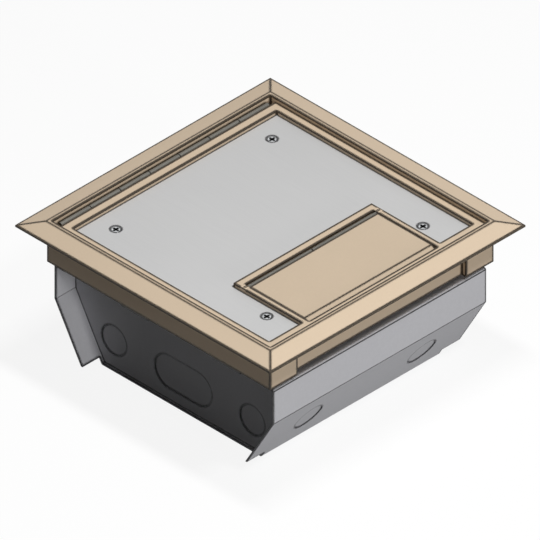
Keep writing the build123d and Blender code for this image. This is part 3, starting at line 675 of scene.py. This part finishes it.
for place in ("front_left", "front_right", "back_left", "back_right"):
    node = f"clamp_screw_{place}"
    low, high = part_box(node)
    outline = [(clamp_head - clamp_chamfer, 0), (clamp_head, -clamp_chamfer),
               (clamp_head, -clamp_head_height), (clamp_shank, -clamp_head_height),
               (clamp_shank, -clamp_collar_drop), (clamp_collar, -clamp_collar_drop),
               (clamp_collar, collar_low), (clamp_shank, collar_low)]
    outline += threads(clamp_shank, collar_low - clamp_pitch, low[2] - high[2], clamp_pitch)
    screw = cross_screw(outline, arm=0.0028, width=0.0005, depth=0.0016)
    screw_x, screw_y = middle_of(node)[:2]
    piece(f"threaded_{node}", copies(screw, [Matrix.Translation((screw_x, screw_y, high[2]))]),
          zinc, node, [node])
    dress(cast_iron, f"clamp_dog_{place}")


# Lid hinge: a continuous hinge of rolled steel strip, its knuckles curled round one drawn pin, with
# pan-headed screws through both leaves. It is zinc-phosphated and oiled: a fine crystal skin, dull
# and mid grey, that holds oil in darker streaks.
phosphate_grey = "#716F69"
phosphate_dark = "#161412"
oil_streak = 4.0
leaf_screw_pitch = 0.064
leaf_screw_count = 4
leaf_head = 0.0023
leaf_head_height = 0.0008
leaf_shank = 0.0013

phosphated, tree, shader = surface("phosphated_rolled_steel", phosphate_grey, roughness=0.55,
                                   metallic=0.3, specular=0.3)
oil = grain(tree, oil_streak, stretch=(0.2, 1, 1))
colour = toned(tree, linear(phosphate_grey), oil, share=0.12)
# painted shade in the gaps between knuckles and leaves, and painted dark lines along the edges
colour = painted_recess_shade(tree, colour, phosphate_dark, reach=1.2)
colour = edged(tree, colour, phosphate_dark, reach=1.2, strength=0.9, start=0.01, full=0.03)
finish(tree, shader, colour, oil, height=0.01)
dress(phosphated, "hinge_leaf_fixed", "hinge_leaf_lid", "hinge_pin")

for node, body, turn in (("hinge_screws_frame", "box", 90), ("hinge_screws_lid", "lid", -90)):
    low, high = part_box(node)
    length = high[1] - low[1] - leaf_head_height
    seat_y = low[1] + leaf_head_height if turn > 0 else high[1] - leaf_head_height
    screw = cross_screw(pan_outline(leaf_head, leaf_head_height, leaf_shank, length, small_pitch),
                        arm=0.0014, width=0.0003, depth=0.0005)
    places = []
    for index in range(leaf_screw_count):
        x = (index - (leaf_screw_count - 1) / 2) * leaf_screw_pitch
        seat = Matrix.Translation((x, seat_y, middle_of(node)[2]))
        places.append(seat @ Matrix.Rotation(math.radians(turn), 4, "X"))
    piece(node.replace("screws", "pan_screws"), copies(screw, places), zinc, body,
          [node])


# Lid: a ribbed aluminium casting in the same tan powder, with a steel plate let into it. The plate
# is cold-rolled steel, brushed one way and coated with satin clear lacquer, which hides most of the
# metal's gleam: a flat, even grey with faint streaks.
plate_grey = "#C1C1C1"
plate_edge = "#1E1E1F"
brush_line = 0.9            # drawn coarser than the real brushing, which is too fine to show
sheet_band = 120.0
flap_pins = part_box("flap_hinge_pins")
pins_middle = middle_of("flap_hinge_pins")

lid_coat = powder_coat("tan_powder_coat_on_lid", coat_tan, bore=(flap_pins[1][0], pins_middle[1]))
dress(lid_coat, "lid_frame")
plate_steel, tree, shader = surface("brushed_steel_plate", plate_grey, roughness=0.55, metallic=0.3)
brushing = grain(tree, brush_line, stretch=(1, 0.02, 1), detail=3.0)
colour = toned(tree, linear(plate_grey), brushing, share=0.02)
colour = toned(tree, colour, grain(tree, sheet_band), share=0.015)
# painted dark lines along the plate's edges and painted shade in the recess round it
colour = edged(tree, colour, plate_edge, reach=1.8, strength=0.9)
finish(tree, shader, colour, brushing, height=0.004)
dress(plate_steel, "lid_plate")


# Lid screws: four countersunk cross-recess screws in bright zinc plate hold the lid's plate, with
# their heads a little below its face. The heads are drawn a little small, so that the gap round
# them shows.
plate_head_full = 0.00445
plate_head = 0.0042
plate_shank = 0.0024
plate_pitch = 0.0011
low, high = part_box("lid_plate_screws")
plate_screw = cross_screw(flat_outline(plate_head, plate_shank, high[2] - low[2], plate_pitch),
                          arm=0.0029, width=0.00075, depth=0.002)
piece("lid_plate_cross_screws", copies(plate_screw, corners("lid_plate_screws", plate_head_full)),
      zinc, "lid", ["lid_plate_screws"])


# Cable flap: a thin ribbed casting with a sloped finger grip, coated as the lid is, from another
# batch of powder that came out a shade deeper. It snaps on two steel pins that meet in its middle.
flap_tan = "#CCB9A1"
pin_chamfer = 0.0003
pin_gap = 0.00015
pin_radius = (flap_pins[1][2] - flap_pins[0][2]) / 2
pin_end = flap_pins[1][0]

flap_coat = powder_coat("tan_powder_coat_second_batch", flap_tan, edge_reach=2.5)
dress(flap_coat, "flap")
pin_outline = [(pin_radius - pin_chamfer, pin_end), (pin_radius, pin_end - pin_chamfer),
               (pin_radius, pin_gap + pin_chamfer), (pin_radius - pin_chamfer, pin_gap)]
pin_places = [Matrix.Translation((0, pins_middle[1], pins_middle[2]))
              @ Matrix.Rotation(math.radians(turn), 4, "Y") for turn in (90, -90)]
piece("round_flap_pins", copies(turned(pin_outline), pin_places), phosphated, "lid",
      ["flap_hinge_pins"])
